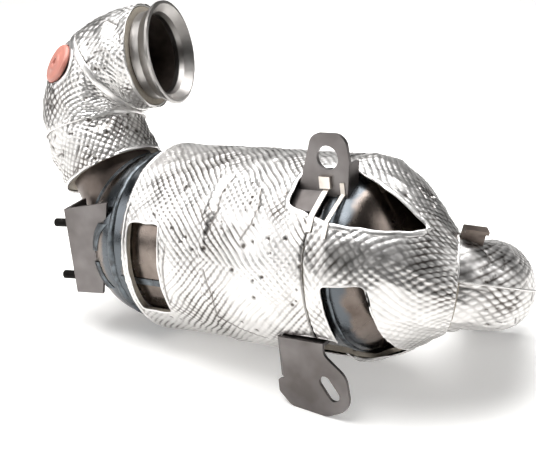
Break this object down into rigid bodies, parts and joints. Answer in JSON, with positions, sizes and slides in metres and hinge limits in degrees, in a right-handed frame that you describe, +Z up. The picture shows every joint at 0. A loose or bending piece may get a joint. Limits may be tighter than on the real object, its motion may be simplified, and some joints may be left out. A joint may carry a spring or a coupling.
{
  "type": "catalytic converter",
  "caption": "Catalytic converter with an inlet elbow and outlet pipe, wrapped in embossed heat-shield foil, with V-band flanges and mounting brackets.",
  "frame": {"origin": "bottom centre of the bounding box, on the bench the converter lies on", "axes": "+Z up from the bench; the canister lies in a plane turned 34 degrees clockwise from +X and rising 7.5 degrees towards the outlet; -Y faces the viewer"},
  "size_m": [0.4682, 0.3302, 0.293],
  "materials": {
    "flange_steel": "turned",
    "pipe_steel": "heat tinted",
    "shell_steel": "heat tinted",
    "bracket_steel": "dull",
    "weld_metal": "rough",
    "stud_steel": "black oxide",
    "strap_steel": "bright",
    "embossed_foil": "embossed",
    "fibre_mat": "fibrous",
    "ceramic_brick": "matt",
    "cap_plastic": "moulded"
  },
  "bodies": {
    "root": {"inlet_flange": "flange_steel", "outlet_flange": "flange_steel", "inlet_elbow_pipe": "pipe_steel", "outlet_elbow_pipe": "pipe_steel", "inlet_dome": "shell_steel", "outlet_dome": "shell_steel", "canister_shell": "shell_steel", "inlet_pipe_weld": "weld_metal", "outlet_pipe_weld": "weld_metal", "inlet_dome_weld": "weld_metal", "outlet_dome_weld": "weld_metal", "shell_seam_weld": "weld_metal", "front_catalyst_brick": "ceramic_brick", "front_support_mat": "fibre_mat", "rear_catalyst_brick": "ceramic_brick", "rear_support_mat": "fibre_mat", "sensor_boss": "bracket_steel", "sensor_boss_cap": "cap_plastic", "elbow_insulation": "fibre_mat", "elbow_foil_upper": "embossed_foil", "elbow_foil_middle": "embossed_foil", "elbow_foil_lower": "embossed_foil", "canister_insulation": "fibre_mat", "canister_foil_left": "embossed_foil", "canister_foil_right": "embossed_foil", "outlet_foil_cone": "embossed_foil", "outlet_foil_edge_strip": "embossed_foil", "outlet_cone_insulation": "fibre_mat", "outlet_foil_upper": "embossed_foil", "outlet_foil_lower": "embossed_foil", "outlet_insulation": "fibre_mat", "outlet_tab": "bracket_steel", "stud_bracket": "bracket_steel", "bracket_studs": "stud_steel", "stud_bracket_weld": "weld_metal", "lug_bracket": "bracket_steel", "lug_bracket_weld": "weld_metal", "slotted_bracket": "bracket_steel", "front_strap": "strap_steel", "rear_strap": "strap_steel"}
  },
  "joints": []
}
